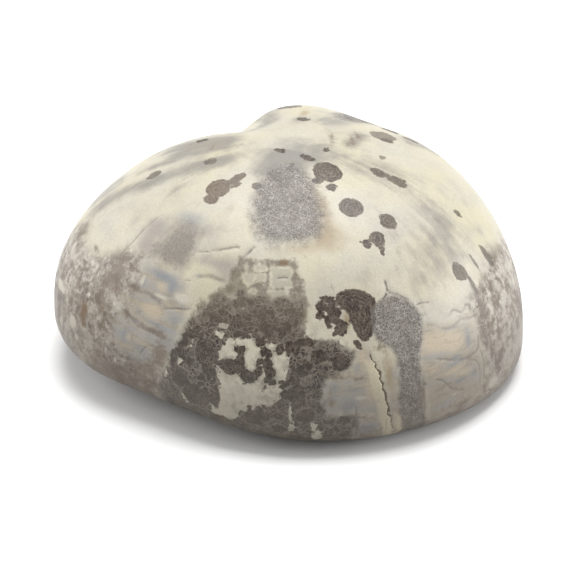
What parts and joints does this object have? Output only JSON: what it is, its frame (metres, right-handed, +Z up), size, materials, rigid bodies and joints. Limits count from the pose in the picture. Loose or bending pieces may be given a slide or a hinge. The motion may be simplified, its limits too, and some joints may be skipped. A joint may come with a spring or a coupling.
{
  "type": "fossil sea urchin",
  "caption": "Worn fossil sea urchin in silica-rich stone: a low helmet-shaped dome with faint rays, a furrow down the back and a flat underside that it rests on.",
  "frame": {"origin": "middle of the flat underside, under the centre of the overall box, on the resting plane", "axes": "+Z up through the crown of the dome, -Y towards the front ray, +X to the fossil's right"},
  "size_m": [0.0494, 0.0474, 0.0235],
  "materials": {
    "fossil_stone": "satin, sea-worn cream silica mottled with umber rosettes and grey grain"
  },
  "bodies": {
    "root": {"urchin_test": "fossil_stone"}
  },
  "joints": []
}
